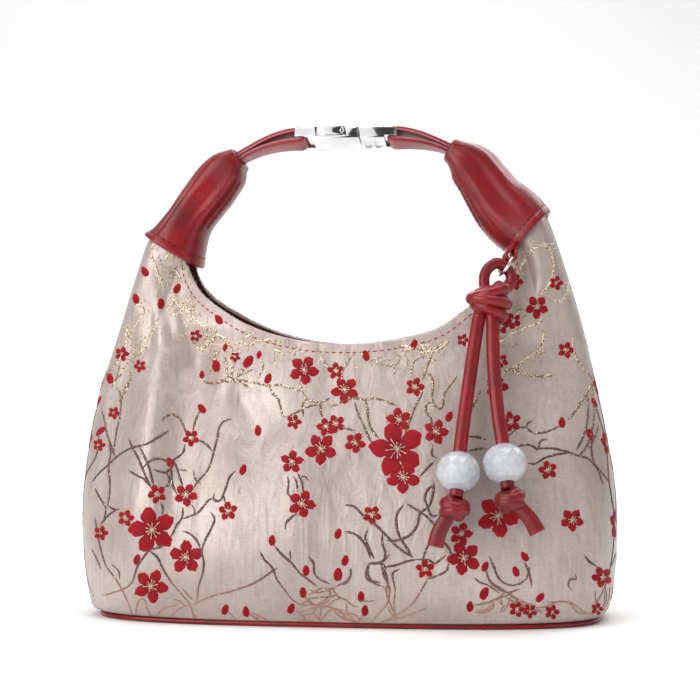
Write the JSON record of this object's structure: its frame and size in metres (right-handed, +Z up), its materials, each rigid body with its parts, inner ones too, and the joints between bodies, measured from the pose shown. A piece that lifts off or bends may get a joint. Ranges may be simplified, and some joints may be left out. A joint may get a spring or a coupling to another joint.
{
  "type": "chinese embroidered purse",
  "caption": "Small brocade purse with a curved mouth between leather-sleeved horns, a doubled strap handle with a lever clasp, and a hanging bead charm.",
  "frame": {"origin": "middle of the base, on the surface that the purse stands on", "axes": "+X towards the horn with the charm, +Y to the back, +Z up"},
  "size_m": [0.2127, 0.1062, 0.1945],
  "materials": {
    "brocade": "satin brocade, champagne, with red plum blossoms on metallic branches",
    "lining_cloth": "matt dark cloth",
    "red_leather": "fine grained, half gloss",
    "strap_leather": "smooth, doubled, stitched edges",
    "cord_leather": "round, stitched",
    "chrome": "polished plate",
    "frosted_bead": "frosted, faceted"
  },
  "bodies": {
    "purse": {"front_panel": "brocade", "back_panel": "brocade", "lining": "lining_cloth", "leather_base": "red_leather", "base_piping": "red_leather", "sleeve_left": "red_leather", "sleeve_right": "red_leather", "strap_left": "strap_leather", "strap_right": "strap_leather", "clasp_left": "chrome", "lever_pin": "chrome", "clasp_right": "chrome", "charm_tab": "strap_leather", "charm_ring": "chrome", "charm_loop": "cord_leather", "charm_knot": "cord_leather", "charm_tail_left": "cord_leather", "charm_tail_right": "cord_leather", "bead_left": "frosted_bead", "bead_right": "frosted_bead", "end_knot_left": "cord_leather", "end_knot_right": "cord_leather"},
    "lever": {"clasp_lever": "chrome"}
  },
  "joints": [
    {"name": "lever_hinge", "type": "hinge", "parent": "purse", "child": "lever", "pos_m": [-0.00284, 0.00022, 0.1907], "axis": [0, 0.9511, -0.309], "range_deg": [0, 60]}
  ]
}
